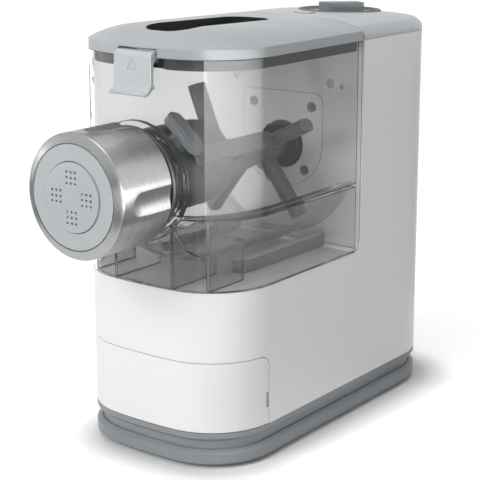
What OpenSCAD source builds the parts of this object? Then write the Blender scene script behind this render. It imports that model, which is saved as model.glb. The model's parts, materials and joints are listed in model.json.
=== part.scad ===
// Electric pasta maker with a clear mixing chamber, a kneading paddle and a front extrusion head.
// Millimetres, +Z up, front of the machine towards -Y, origin under the centre of the whole box.

/* [Body] */
// Width of the body across its flat sides
body_w = 135; // [128:1:150]
// Length of the body from its bowed front to its bowed rear
body_len = 270; // [262:1:300]
// Radius of the bowed front and rear faces
bow_r = 315; // [280:5:400]
// Radius of the two front corners
front_corner_r = 46.5; // [40:0.5:52]
// Radius of the two rear corners
rear_corner_r = 53.5; // [46:0.5:56]
// Wall of the moulded housing
wall = 2.8; // [2.4:0.1:3.4]
// Distance from the front of the body to the front of the column
column_y = 154.7; // [150:0.1:160]
// Radius of the fillet between the deck and the column
deck_fillet_r = 7; // [4:0.5:9]

/* [Base] */
// Height of the rubber feet under the base tray
foot_h = 1.6; // [1:0.1:3]
// Diameter of a rubber foot
foot_d = 16; // [12:1:20]
// Height of the base tray above its feet, up to the seam with the housing
tray_h = 22.4; // [20:0.1:28]
// Height of the outer flange of the base tray
flange_h = 8.2; // [6:0.1:10]
// Depth of the recessed waist above the flange
waist_in = 4.5; // [3:0.1:6]
// Height of the band between the waist and the seam
band_h = 5.6; // [4:0.1:7]

/* [Housing] */
// Height of the deck above the seam
deck_h = 93.2; // [88:0.1:100]
// Height of the column and the chamber above the deck
chamber_h = 145.6; // [142:0.1:156]
// Height of the extrusion and drive axis above the deck
axis_h = 67.6; // [66:0.1:70]

/* [Drawer] */
// Height of the drawer front above the seam
drawer_h = 47.2; // [42:0.1:52]
// Reach of the drawer front round the corners
drawer_wrap = 47; // [42:1:50]
// Length of the storage tray behind the drawer front
tray_len = 118; // [100:1:124]
// Wall of the storage tray
tray_wall = 2; // [1.6:0.1:2.6]
// Gap round the drawer front
drawer_gap = 0.5; // [0.3:0.1:0.8]

/* [Lid] */
// Height of the plain edge of the lid and the column cover
edge_h = 6.5; // [5:0.1:8]
// Rise of the crown above that edge at the joint between lid and cover
crown_h = 6.8; // [5:0.1:8]
// Fall of the crown from front to rear in degrees
crown_tilt = 1.5; // [0:0.1:2]
// Gap between the lid and the column cover
lid_gap = 2.5; // [1.5:0.1:3]
// Width of the pouring slot in the lid
slot_w = 36; // [30:1:40]
// Length of the pouring slot
slot_len = 101; // [80:1:104]
// Distance from the front of the lid to the slot
slot_y = 21; // [18:1:24]
// Depth of the collar under the lid
collar_h = 7; // [5:0.5:9]
// Width of the lid latch
latch_w = 30; // [26:1:34]
// Drop of the lid latch below the edge of the lid
latch_drop = 23; // [20:0.5:26]

/* [Chamber] */
// Wall of the clear outer skirt
skirt_t = 2.6; // [2.2:0.1:3]
// Inner radius of the kneading trough
trough_r = 60; // [58.5:0.1:60.5]
// Wall of the kneading trough
trough_t = 2.4; // [2:0.1:2.6]
// Drop of the shelf at the rim of the trough below the axis
shelf_drop = 19.6; // [16:0.1:22]
// Thickness of the stiffening ribs under the trough
rib_t = 1.6; // [1.2:0.1:2.2]
// Clearance between the chamber and what it stands on
seat_gap = 0.3; // [0.2:0.1:0.5]

/* [Extrusion head] */
// Outer radius of the locking cap
cap_r = 39; // [38:0.1:41]
// Distance from the front of the body to the front of the cap
cap_reach = 59.8; // [57:0.1:64]
// Length of the locking cap
cap_len = 46.4; // [43:0.1:48]
// Wall of the locking cap
cap_wall = 3; // [2.8:0.1:3.4]
// Radius of the opening in the front of the cap
face_r = 32.5; // [31:0.1:33.5]
// Radius of the round insert with the holes
insert_r = 21.6; // [20.5:0.1:22.5]
// Proud height of the insert
insert_proud = 1.2; // [0.8:0.1:2]
// Diameter of one extrusion hole
hole_d = 1.7; // [1.4:0.1:2]
// Pitch of the extrusion holes in one group
hole_pitch = 3.45; // [3.2:0.05:3.8]
// Distance of each group of holes from the axis
group_r = 12.2; // [11.5:0.1:12.6]
// Number of finger scallops round the cap
scallops = 4; // [3:1:6]
// Radius of the extruder bore
bore_r = 20.5; // [19.5:0.1:21]
// Length of the tube inside the chamber
tube_len = 72; // [66:1:74]
// Outer radius of the tube inside the chamber
tube_r = 28; // [27:0.1:28.5]
// Offset of the tube body above the axis
tube_lift = 3.4; // [2:0.1:3.6]

/* [Paddle] */
// Radius swept by the kneading blades
blade_r = 53; // [48:0.5:55]
// Depth of a blade along the axis
blade_depth = 13; // [10:0.5:15]
// Thickness of a blade
blade_t = 9; // [7:0.5:10]
// Radius swept by the outside of the scraper arm
arm_r = 37; // [36:0.5:39]
// Pitch of the extruder screw
screw_pitch = 26; // [22:1:32]
// Radius of the core of the extruder screw
core_r = 8; // [7:0.5:10]
// Running clearance of the turning parts
run_gap = 0.6; // [0.4:0.1:0.8]

/* [Drive] */
// Radius of the opening round the drive coupling
drive_r = 17; // [16:0.1:18]
// Across flats of the square drive
drive_af = 11; // [9:0.5:12]
// Radius of the drive shafts
shaft_r = 5; // [4:0.5:6]
// Module of the output gear pair
out_mod = 1.6; // [1.5:0.05:1.65]
// Module of the motor gear pair
in_mod = 1.25; // [1.15:0.05:1.3]
// Teeth of the output gear
out_teeth = 50; // [46:1:52]
// Teeth of the intermediate gear
mid_teeth = 60; // [54:1:62]
// Teeth of both pinions
pinion_teeth = 12; // [12:1:14]
// Radius of the motor can
motor_r = 30; // [26:0.5:34]
// Length of the motor can
motor_len = 38; // [32:0.5:40]

/* [Controls] */
// Radius of the dial ring
dial_r = 30.5; // [28:0.5:32]
// Distance from the front of the body to the dial centre
dial_y = 226; // [222:0.5:228]
// Length of the bar of the knob
bar_len = 32; // [28:0.5:34]
// Width of the bar of the knob
bar_w = 15.6; // [13:0.1:17]
// Height of the bar above the dial ring
bar_h = 6.8; // [5:0.1:9]
// Angle of the bar from the width of the machine
bar_angle = 56; // [0:1:90]
// Width of the start button
button_w = 14; // [12:0.5:16]
// Distance from the front of the body to the start button
button_y = 181; // [178:0.5:184]

/* [Hidden] */

// Heights of the main levels above the floor
half_w = body_w / 2;
seam_z = foot_h + tray_h;
deck_z = seam_z + deck_h;
axis_z = deck_z + axis_h;
rim_z = deck_z + chamber_h;
edge_z = rim_z + edge_h;
drawer_z = seam_z + drawer_h;
tray_z = seam_z + 3;
shelf_z = axis_z - shelf_drop;
// Front of the body, which puts the origin under the middle of the whole length
front_y = (cap_reach + insert_proud - body_len) / 2;
// Rear edges of the chamber and the lid, in front of the column
chamber_end = column_y - lid_gap;
// Front and rear of the locking cap and of the tube nose inside it
cap_front = -cap_reach;
cap_rear = cap_front + cap_len;
disc_seat = cap_front + 8;
nose_r = 30;
collar_r = 36;
// Crown of the lid and cover
crown_power = 3.3;
crown_steps = 7;
corner_steps = 14;
cover_round = 5;
skin = 2.6;
// Drive train positions behind the column front
gear_y = column_y + 25;
gear_t = 8;
out_cd = out_mod * (out_teeth + pinion_teeth) / 2;
in_cd = in_mod * (mid_teeth + pinion_teeth) / 2;
mid_z = axis_z - out_cd;
motor_z = mid_z - in_cd;
frame_y = gear_y - gear_t / 2 - 6;
back_y = gear_y + gear_t * 1.5 + 6;
motor_y = back_y + 4;
wall_block = 6;
running = 0.05;
// Shield plate round the drive
plate_half = 33.5;
plate_top = 38;
plate_low = 3.2;
plate_t = 2.8;
screw_spots = [[24.2, 28.4], [-24.2, 28.4], [18.2, -17.2], [-18.2, -17.2]];
// Latch pivot under the front edge of the lid
pivot_y = 2;
pivot_z = edge_z - 5;
pin_r = 1.3;
// Angle of the paddle's scraper arm and of its blades, with the place of each blade on the axis
arm_angle = 27;
blade_set = [[27, 115], [-54, 130], [112, 82], [233, 116]];
scallop_turn = -3.5;
// Screws and feet under the base tray
foot_spots = [[-42, 26], [42, 26], [-40, 236], [40, 236]];
screw_plan = [[-57.5, 64], [57.5, 64], [-57.5, 132], [57.5, 132], [-52, 216], [52, 216]];
pad_h = 7;
deck_t = 3;
boss_r = 4.2;
boss_h = 49;
air_len = 46;
post_in = 12;
web_h = 29;
// Panel low in the rear wall, between these heights and at this half width
panel_z = [seam_z + 6, seam_z + 86];
panel_half = 43;
panel_gap = 0.15;
// Cord gland low in the rear wall
gland_z = seam_z + 16;
gland_r = 7;
// Dial, button and the board under them
dial_z = edge_z + crown_h - (dial_y - column_y) * sin(crown_tilt) - 1.4;
button_z = edge_z + crown_h - (button_y - column_y) * sin(crown_tilt);
board_z = dial_z - 21;
board_half = half_w - 21.5;
board_len = body_len - column_y - 29.3;
board_t = 1.6;
button_travel = 1.2;
// Gears, motor and the frame that holds them
pressure = 25;
flank = [0, 0.5, 1];
mid_y = gear_y + gear_t + 2;
motor_end = motor_y + motor_len;
frame_half = 44;
pillar_spots = [[-38, 38], [38, 38], [-38, -72], [38, -72]];
// Storage tray, trough and lid details
tray_half = 52;
divider_y = 74;
divider_h = 26;
front_hole = 32.2;
bowl_y = 58;
rib_x = [-46, -23.5, 23.5, 46];
neck_r = 7.5;
key_y = 12.4;
slot_r = 14;
scallop_r = 22;
scallop_in = 2.2;
grille_z = rim_z + 2.4;
grille_h = 5.2;
// Front end of the screw and of the paddle's hub
screw_y0 = disc_seat + 1.5;
paddle_y = tube_len + 3;
$fn = 72;

module at_front() translate([0, front_y, 0]) children();
module on_axis() translate([0, front_y, axis_z]) children();

// Round bar along Y between two stations
module bar_y(r, y0, y1) translate([0, y0, 0]) rotate([-90, 0, 0]) cylinder(r = r, h = y1 - y0);

// Solid turned about Y from a profile of [radius, station] points
module turned_y(points) rotate([-90, 0, 0]) rotate_extrude() polygon(points);

// Plate with a front view outline, between two stations along Y
module plate_y(y0, y1) translate([0, y1, 0]) rotate([90, 0, 0]) linear_extrude(y1 - y0) children();

// Plate with a side view outline of [y, z] points, centred on x
module plate_x(x, t) translate([x - t / 2, 0, 0]) rotate([90, 0, 90]) linear_extrude(t) children();

// Middle of a corner of radius r, and the angle from the middle line at which the bow meets that corner
function corner_y(r) = bow_r - sqrt(pow(bow_r - r, 2) - pow(half_w - r, 2));
function bow_angle(r) = asin((half_w - r) / (bow_r - r));

// Points of half a bow and of the corner beside it, moved inwards by inset
function corner_arc(r, inset, steps) = concat(
  [for (i = [0:2]) let (a = bow_angle(r) * (0.17 + 0.33 * i) - 90)
    [(bow_r - inset) * cos(a), bow_r + (bow_r - inset) * sin(a)]],
  [for (i = [0:steps]) let (a = bow_angle(r) - 90 + (90 - bow_angle(r)) * i / steps)
    [half_w - r + (r - inset) * cos(a), corner_y(r) + (r - inset) * sin(a)]]);
function reversed(list) = [for (i = [len(list) - 1:-1:0]) list[i]];

// Plan outline of the body, moved inwards by inset
module outline(inset = 0, steps = corner_steps) {
  right = concat(corner_arc(front_corner_r, inset, steps),
    [for (p = reversed(corner_arc(rear_corner_r, inset, steps))) [p.x, body_len - p.y]]);
  polygon(concat(right, [for (p = reversed(right)) [-p.x, p.y]]));
}

// Solid with the plan outline between two heights
module block(z0, z1, inset = 0) translate([0, 0, z0]) linear_extrude(z1 - z0) outline(inset);

// Half spaces in front of and behind a station, as tall boxes
module ahead(y, z0, z1) translate([-body_w, y - 2 * body_len, z0]) cube([2 * body_w, 2 * body_len, z1 - z0]);
module behind(y, z0, z1) translate([-body_w, y, z0]) cube([2 * body_w, 2 * body_len, z1 - z0]);

module rounded(w, l, r) {
  for (sx = [-1, 1], sy = [-1, 1]) translate([sx * (w / 2 - r), sy * (l / 2 - r)]) circle(r);
  square([w, l - 2 * r], center = true);
  square([w - 2 * r, l], center = true);
}

// ---------- Base ----------

module base_tray() color([0.6, 0.63, 0.65]) at_front() difference() {
  union() {
    hull() {
      block(foot_h, foot_h + 0.2, 2.2);
      block(foot_h + 2, foot_h + 2.2);
    }
    block(foot_h + 2, foot_h + flange_h);
    hull() {
      block(foot_h + flange_h - 0.2, foot_h + flange_h);
      block(foot_h + flange_h + 2.2, foot_h + flange_h + 2.4, 3);
    }
    block(foot_h + flange_h, seam_z - band_h, waist_in);
    hull() {
      block(seam_z - band_h, seam_z - band_h + 0.2, 2.5);
      block(seam_z - band_h + 2, seam_z - band_h + 2.2);
    }
    block(seam_z - band_h + 2, seam_z);
    block(seam_z - 1, seam_z + 3, wall + 0.3);
  }
  difference() {
    block(foot_h + 3, seam_z + 4, waist_in + 3);
    for (p = screw_plan) translate([p.x, p.y, 0]) cylinder(r = 4.8, h = foot_h + pad_h);
    for (s = [-1, 1]) translate([s * 40 - 1.5, 12, 0]) cube([3, tray_len - 4, tray_z - 0.3]);
  }
  ahead(drawer_wrap + 3, seam_z, seam_z + 4);
  for (p = foot_spots) translate([p.x, p.y, 0]) cylinder(d = foot_d + 0.2, h = foot_h + 1);
  for (p = screw_plan) translate([p.x, p.y, 0]) {
    cylinder(r = 1.8, h = seam_z);
    cylinder(r = 3.5, h = foot_h + 3.2);
    translate([0, 0, foot_h + pad_h]) cylinder(r = boss_r + 0.2, h = tray_h);
  }
  // Air slots under the motor
  for (i = [-4:4]) translate([i * 8 - 1.6, column_y + 25.3, 0]) cube([3.2, air_len, foot_h + 4]);
}

module rubber_feet() color([0.16, 0.16, 0.17]) at_front()
  for (p = foot_spots) translate([p.x, p.y, 0]) cylinder(d = foot_d, h = foot_h + 1);

module tray_screws() color([0.7, 0.7, 0.72]) at_front() for (p = screw_plan) translate([p.x, p.y, 0]) {
  translate([0, 0, foot_h + 0.6]) cylinder(r = 3.2, h = 2.5);
  translate([0, 0, foot_h + 3]) cylinder(r = 1.5, h = pad_h + 10);
}

// ---------- Housing ----------

// Front view outline of the shield plate, grown by a gap
module plate_outline(gap = 0) {
  translate([0, plate_low]) circle(plate_half + gap);
  translate([-plate_half - gap, plate_low]) square([2 * (plate_half + gap), plate_top - plate_low - 6]);
  for (s = [-1, 1]) translate([s * (plate_half - 6), plate_top - 6]) circle(6 + gap, $fn = 32);
  translate([6 - plate_half, 0]) square([2 * plate_half - 12, plate_top + gap]);
}

module column_front() on_axis() plate_y(column_y, column_y + wall_block)
  translate([-half_w, -58]) square([body_w, board_z - axis_z + 57.85]);

module main_housing() color([0.93, 0.92, 0.9]) at_front() difference() {
  union() {
    difference() {
      block(seam_z, deck_z);
      block(seam_z - 1, deck_z + 1, wall);
      ahead(column_y + wall, deck_z - deck_t, deck_z + 1);
    }
    // Bosses for the screws from the tray, each with a web to the wall
    for (p = screw_plan) translate([p.x, p.y, foot_h + pad_h + 0.2]) difference() {
      union() {
        cylinder(r = boss_r, h = boss_h);
        translate([p.x > 0 ? 0 : wall / 2 - half_w - p.x, -1.2, boss_h - web_h])
          cube([half_w - abs(p.x) - wall / 2, 2.4, web_h]);
      }
      translate([0, 0, -1]) cylinder(r = 1.55, h = 24);
    }
  }
  // Drawer opening round the front corners
  drawer_side(0);
  panel_region(0);
}

// Deck that the chamber stands on, up to the front wall of the column
module deck_plate() color([0.93, 0.92, 0.9]) at_front() intersection() {
  block(deck_z - deck_t, deck_z);
  ahead(column_y + wall, seam_z, rim_z);
}

module column_shell() color([0.93, 0.92, 0.9]) difference() {
  union() {
    at_front() {
      intersection() {
        difference() {
          block(deck_z, rim_z);
          block(deck_z - 1, rim_z + 1, wall);
        }
        behind(column_y, deck_z, rim_z);
      }
      // Front wall of the column and its fillet with the deck
      intersection() {
        block(deck_z, rim_z, 1);
        translate([-body_w, column_y, deck_z]) cube([2 * body_w, wall, rim_z - deck_z]);
      }
      intersection() {
        block(deck_z, deck_z + deck_fillet_r);
        plate_x(0, body_w) difference() {
          translate([column_y - deck_fillet_r, deck_z]) square([deck_fillet_r + 1, deck_fillet_r]);
          translate([column_y - deck_fillet_r, deck_z + deck_fillet_r]) circle(deck_fillet_r - 0.05);
        }
      }
    }
    intersection() {
      column_front();
      at_front() block(deck_z, rim_z, 1);
    }
  }
  // Seat and opening of the shield plate, with the two moulded spigots beside it
  on_axis() {
    plate_y(column_y - 1, column_y + plate_t) plate_outline(0.25);
    plate_y(column_y - 1, column_y + wall_block + 1) circle(drive_r + 6);
    for (p = screw_spots) translate([p.x, 0, p.y]) bar_y(1.3, column_y, column_y + wall_block + 1);
    for (s = [-1, 1]) translate([s * 39.8, 0, 46.4]) bar_y(3.2, column_y - 1, column_y + 2);
    translate([49, 0, 45]) bar_y(1.8, column_y - 1, column_y + 2);
  }
}

// Region of the rear wall that the rear panel fills, smaller by gap
module panel_region(gap) translate([gap - panel_half, body_len - 20, panel_z[0] + gap])
  cube([2 * (panel_half - gap), 40, panel_z[1] - panel_z[0] - 2 * gap]);

module rear_panel() color([0.93, 0.92, 0.9]) at_front() difference() {
  union() {
    intersection() {
      difference() {
        block(seam_z, deck_z);
        block(seam_z - 1, deck_z + 1, wall);
      }
      panel_region(panel_gap);
    }
    // Rim that laps the wall from inside
    intersection() {
      difference() {
        block(seam_z, deck_z, wall + 0.1);
        block(seam_z - 1, deck_z + 1, wall + 1.8);
      }
      panel_region(-2.5);
    }
    intersection() {
      difference() {
        block(seam_z, deck_z, wall - 1);
        block(seam_z - 1, deck_z + 1, wall + 1);
      }
      panel_region(panel_gap);
    }
  }
  // Air slots
  for (i = [-5:5]) translate([i * 7 - 1.5, body_len - 12, seam_z + 34]) cube([3, 20, air_len]);
  // Seat of the cord gland
  translate([0, 0, gland_z]) {
    bar_y(gland_r, body_len - 12, body_len + 1);
    bar_y(gland_r + 3, body_len - 12, body_len - wall - 0.1);
  }
}

module cord_gland() color([0.2, 0.2, 0.21]) at_front() translate([0, 0, gland_z]) difference() {
  union() {
    bar_y(gland_r - 0.1, body_len - 8, body_len - 0.6);
    bar_y(gland_r + 2.5, body_len - 8, body_len - wall - 0.2);
  }
  bar_y(3.7, body_len - 9, body_len + 1);
}

// ---------- Crown of the lid and cover ----------

function crown_rise(t) = 1 - pow(1 - t, crown_power);

// One level of the crown: t runs from 0 at the edge to 1 in the middle
module crown_level(t) let (rise = crown_rise(t))
  translate([0, column_y, edge_z + crown_h * rise]) rotate([-crown_tilt * rise, 0, 0])
    translate([0, -column_y, 0]) linear_extrude(0.05) outline(t * half_w * 0.94, t > 0.5 ? 7 : corner_steps);

// Height just under the cover's hollow at a station along the machine
function cover_under(y) = let (rise = crown_rise(0.33))
  edge_z + crown_h * rise - skin - (y - column_y) * sin(crown_tilt * rise) - 0.3;

module crown_step(z, inset) translate([0, 0, z]) linear_extrude(0.1) outline(inset);

// Crowned solid from the rim up, with soft corners where round is over zero
module crown(round = 0) hull() {
  crown_step(rim_z - 0.5, 0);
  if (round == 0) crown_step(edge_z - 0.1, 0);
  if (round > 0) for (a = [0:30:60]) crown_step(edge_z - round + round * sin(a) - 0.1, round * (1 - cos(a)));
  for (i = [1:crown_steps]) crown_level(0.05 + 0.6 * pow(i / crown_steps, 1.6));
}

// Stepped hollow under the crown
module crown_hollow() for (t = [0, 0.14, 0.33, 0.6]) let (rise = crown_rise(t))
  translate([0, column_y, edge_z + crown_h * rise - skin]) rotate([-crown_tilt * rise, 0, 0])
    translate([0, -column_y, -14]) linear_extrude(14) outline(skin + t * half_w);

module column_cover() color([0.66, 0.68, 0.69]) difference() {
  at_front() difference() {
    intersection() {
      crown(cover_round);
      behind(column_y, rim_z, edge_z + 20);
    }
    intersection() {
      crown_hollow();
      behind(column_y + skin, rim_z - 12, edge_z + 20);
    }
  }
  dial_place() {
    translate([0, 0, -20]) cylinder(r = dial_r - 3.4, h = 40);
    cylinder(r = dial_r, h = 10);
  }
  button_place() translate([0, 0, -20]) linear_extrude(40) rounded(button_w + 0.6, button_w * 0.8 + 0.6, 3.3);
}

// ---------- Controls ----------

module dial_place() translate([0, front_y + dial_y, dial_z]) rotate([-crown_tilt, 0, 0]) children();
module button_place() translate([0, front_y + button_y, button_z]) rotate([-crown_tilt, 0, 0]) children();

module dial_ring() color([0.6, 0.62, 0.63]) dial_place() rotate_extrude() polygon([
  [dial_r - 4.8, -4], [dial_r - 3.5, -4], [dial_r - 3.5, 0], [dial_r - 0.1, 0], [dial_r - 0.1, 1.1],
  [dial_r - 0.8, 1.9], [dial_r - 1.8, 2], [dial_r - 4.8, 0.4]
]);

module control_knob() color([0.55, 0.57, 0.58]) dial_place() {
  translate([0, 0, -1.6]) cylinder(r = dial_r - 5.1, h = 1.8);
  rotate([0, 0, bar_angle]) linear_extrude(bar_h) {
    translate([bar_w / 2 - bar_len / 2, 0]) circle(bar_w / 2);
    translate([bar_w / 2 - bar_len / 2, -bar_w / 2]) square([bar_len - bar_w / 2, bar_w]);
  }
  translate([0, 0, -17]) cylinder(r = 3, h = 16);
}

module start_button() color([0.62, 0.64, 0.65]) button_place() {
  translate([0, 0, -2.4]) linear_extrude(3) rounded(button_w, button_w * 0.8, 3);
  translate([0, 0, -5]) linear_extrude(2) rounded(button_w + 3, button_w * 0.8 + 3, 3);
  translate([0, 0, -3.1]) linear_extrude(1) rounded(button_w, button_w * 0.8, 3);
  translate([0, 0, -9]) cylinder(r = 1.6, h = 4);
}

module control_board() color([0.1, 0.35, 0.2]) at_front() {
  translate([-board_half, column_y + 4, board_z]) cube([2 * board_half, board_len, board_t]);
  // Posts up to the cover
  for (s = [-1, 1], y = [column_y + post_in + 4, column_y + board_len - post_in - 2])
    translate([s * (board_half - post_in), y, board_z]) cylinder(r = 3, h = cover_under(y + 3) - board_z);
}

module selector_switch() color([0.25, 0.25, 0.27])
  translate([0, front_y + dial_y + (board_z + 6 - dial_z) * sin(crown_tilt), board_z + board_t])
  difference() {
    translate([-8, -8, 0]) cube([16, 16, 7]);
    translate([0, 0, 1]) cylinder(r = 3.5, h = 10);
  }

module start_switch() color([0.25, 0.25, 0.27]) translate([0, front_y + button_y, board_z + board_t]) {
  translate([-4, -4, 0]) cube([8, 8, 5]);
  cylinder(r = 1.8, h = button_z - board_z - board_t - 9.3 - button_travel);
}

// ---------- Shield plate and drive ----------

module shield_plate() color([0.93, 0.92, 0.9]) on_axis() difference() {
  plate_y(column_y + 0.1, column_y + plate_t - 0.1) plate_outline();
  bar_y(drive_r, column_y - 1, column_y + plate_t + 1);
  for (p = screw_spots) translate([p.x, 0, p.y]) {
    bar_y(3.7, column_y - 1, column_y + 1.4);
    bar_y(1.7, column_y - 1, column_y + plate_t + 1);
  }
}

module plate_screws() color([0.5, 0.5, 0.5]) on_axis() for (p = screw_spots) translate([p.x, 0, p.y]) {
  difference() {
    bar_y(3, column_y + 0.4, column_y + 1.3);
    bar_y(1, column_y, column_y + 0.9);
  }
  bar_y(1.25, column_y + 1.2, column_y + wall_block);
}

module shaft_seal() color([0.06, 0.06, 0.06]) on_axis() turned_y([
  [13, column_y + 1.6], [drive_r - 0.1, column_y + 0.6], [drive_r - 0.1, column_y + plate_t],
  [drive_r + 5.8, column_y + plate_t], [drive_r + 5.8, column_y + wall_block], [13, column_y + wall_block]
]);

module drive_coupling() color([0.3, 0.31, 0.32]) on_axis() difference() {
  turned_y([
    [0, column_y + 8], [11, column_y + 8], [12.4, column_y + 6], [12.4, column_y + 1.5], [11, column_y + 1.5],
    [11, column_y + 0.3], [9.6, column_y + 0.3], [9.6, column_y - 1], [0, column_y - 1]
  ]);
  translate([0, column_y + 1.5, 0]) cube([drive_af + 0.6, 6, drive_af + 0.6], center = true);
  bar_y(shaft_r + 0.03, column_y + 4.6, column_y + 9);
}

module output_shaft() color([0.72, 0.73, 0.75]) on_axis() bar_y(shaft_r, column_y + 4.7, back_y + 3.9);

module output_bearing() color([0.75, 0.76, 0.78]) on_axis() difference() {
  bar_y(12.95, frame_y - 6, frame_y);
  bar_y(shaft_r + running, frame_y - 7, frame_y + 1);
  for (y = [frame_y - 6.5, frame_y - 0.5]) difference() {
    bar_y(10.6, y, y + 1);
    bar_y(7.6, y - 1, y + 2);
  }
}

// Involute spur gear outline with a tooth centred at the angle turn
function involute(rb, r) = tan(acos(rb / r)) * 180 / PI - acos(rb / r);
function polar(r, a) = [r * cos(a), r * sin(a)];
module gear_outline(teeth, mod, turn, play = 0.3) {
  rp = mod * teeth / 2;
  rb = rp * cos(pressure);
  low = max(rb, rp - 1.1 * mod);
  high = rp + 0.9 * mod;
  half = [for (t = flank) let (r = low + (high - low) * t)
    [r, 90 / teeth - play * mod / rp * 14.3 + involute(rb, rp) - involute(rb, r)]];
  root = rp - 1.15 * mod;
  polygon([for (k = [0:teeth - 1]) let (a = turn + 360 * k / teeth) each concat(
    [polar(root, a - half[0][1])], [for (i = [0:2]) polar(half[i][0], a - half[i][1])],
    [for (i = [2:-1:0]) polar(half[i][0], a + half[i][1])], [polar(root, a + half[0][1])])]);
}

module output_gear() color([0.85, 0.83, 0.76]) on_axis() difference() {
  union() {
    plate_y(gear_y - gear_t / 2, gear_y + gear_t / 2) gear_outline(out_teeth, out_mod, -90);
    bar_y(shaft_r + 4, gear_y - gear_t / 2 - 1.5, back_y - 0.6);
  }
  bar_y(shaft_r + 0.03, gear_y - 20, back_y + 1);
  for (y = [gear_y - gear_t, gear_y + 2.5]) difference() {
    bar_y(out_mod * out_teeth / 2 - 5, y, y + gear_t - 2.5);
    bar_y(shaft_r + 4, y - 1, y + gear_t);
  }
}

module at_mid() translate([0, front_y, mid_z]) children();
module at_motor() translate([0, front_y, motor_z]) children();

module intermediate_gear() color([0.85, 0.83, 0.76]) at_mid() difference() {
  union() {
    plate_y(mid_y - gear_t / 2, mid_y + gear_t / 2) gear_outline(mid_teeth, in_mod, -90);
    plate_y(gear_y - gear_t / 2 - 1, mid_y) gear_outline(pinion_teeth, out_mod, 90 + 180 / pinion_teeth);
  }
  bar_y(4.03, gear_y - 20, back_y + 1);
  for (y = [mid_y + 2]) difference() {
    bar_y(in_mod * mid_teeth / 2 - 4, y, y + gear_t);
    bar_y(8, y - 1, y + gear_t + 1);
  }
}

module intermediate_shaft() color([0.72, 0.73, 0.75]) at_mid() bar_y(4, frame_y - 5.9, back_y + 3.9);

module motor_pinion() color([0.75, 0.68, 0.4]) at_motor() difference() {
  plate_y(mid_y - gear_t / 2 - 1, back_y - 1) gear_outline(pinion_teeth, in_mod, 90 + 180 / pinion_teeth);
  bar_y(3.03, mid_y - 20, back_y + 1);
}

module motor_shaft() color([0.72, 0.73, 0.75]) at_motor() bar_y(3, mid_y - gear_t / 2 - 2, motor_end + 14);

module motor_can() color([0.45, 0.46, 0.48]) at_motor() difference() {
  union() {
    turned_y([
      [0, motor_y + 0.1], [motor_r - 2, motor_y + 0.1], [motor_r, motor_y + 2], [motor_r, motor_end - 2],
      [motor_r - 2, motor_end], [9, motor_end], [9, motor_end + 3], [0, motor_end + 3]
    ]);
    bar_y(8, back_y - 0.2, motor_y + 1);
  }
  bar_y(3 + running, back_y - 1, motor_end + 4);
  for (a = [0:45:315]) rotate([0, a, 0])
    translate([0, motor_end - 1, motor_r * 0.62]) cube([7, 4, 9], center = true);
}

module cooling_fan() color([0.8, 0.8, 0.78]) at_motor() difference() {
  union() {
    bar_y(9, motor_end + 4.5, motor_end + 13.5);
    for (a = [0:40:320]) rotate([0, a, 0]) translate([0, motor_end + 9, 8]) rotate([0, 0, 35])
      translate([-0.8, -5, 0]) cube([1.6, 10, motor_r - 11]);
  }
  bar_y(3.03, motor_end, motor_end + 20);
}

module gear_frame() color([0.7, 0.71, 0.72]) difference() {
  union() {
    for (y = [frame_y - 6, back_y]) translate([0, front_y, 0]) plate_y(y, y == back_y ? y + 4 : frame_y) {
      translate([-frame_half, foot_h + 3.1]) square([2 * frame_half, axis_z + 40 - foot_h - 3.1]);
      translate([6 - frame_half, axis_z]) square([2 * frame_half - 12, 46]);
      for (s = [-1, 1]) translate([s * (frame_half - 6), axis_z + 40]) circle(6);
    }
    on_axis() for (p = pillar_spots) translate([p.x, 0, p.y]) bar_y(4, frame_y - 1, back_y + 1);
    on_axis() for (p = pillar_spots) if (p.y > 0) translate([p.x, 0, p.y])
      bar_y(4, column_y + wall_block + 0.1, frame_y - 1);
  }
  on_axis() {
    bar_y(13, frame_y - 8, frame_y + 1);
    bar_y(shaft_r + running, back_y - 1, back_y + 6);
  }
  at_mid() bar_y(4 + running, frame_y - 10, back_y + 6);
  at_motor() bar_y(8.1, back_y - 1, back_y + 6);
}

// ---------- Drawer ----------

// Side view region that the drawer front fills, smaller by gap
module drawer_side(gap) let (r = 8) plate_x(0, 2 * body_w) {
  low = gap > 0 ? gap : -20;
  translate([-20, seam_z + low]) square([drawer_wrap + 20 - gap, drawer_h - r - gap - low]);
  translate([-20, seam_z]) square([drawer_wrap + 20 - gap - r, drawer_h - gap]);
  translate([drawer_wrap - gap - r, drawer_z - gap - r]) circle(r);
}

module drawer_front() color([0.93, 0.92, 0.9]) at_front() difference() {
  intersection() {
    difference() {
      block(seam_z + drawer_gap, drawer_z);
      block(seam_z, drawer_z + 1, wall);
    }
    drawer_side(drawer_gap);
  }
  // Nick for the fingertip at each rear edge
  for (s = [-1, 1])
    translate([s * half_w - 5, drawer_wrap - drawer_gap - 2.6, seam_z + 11.6]) cube([10, 10, 10.4]);
}

// Space inside the storage tray, smaller by gap all round
module tray_space(z0, z1, gap) intersection() {
  block(z0, z1, wall + 0.15 + gap);
  translate([gap - tray_half, -1, z0]) cube([2 * (tray_half - gap), tray_len + 1 - gap, z1 - z0]);
}

module storage_tray() color([0.7, 0.72, 0.73]) at_front() {
  difference() {
    tray_space(tray_z, drawer_z - 4, 0);
    tray_space(tray_z + tray_wall, drawer_z, tray_wall);
  }
  translate([-tray_half + 1, divider_y, tray_z + 1]) cube([2 * tray_half - 2, tray_wall, divider_h]);
}

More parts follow.
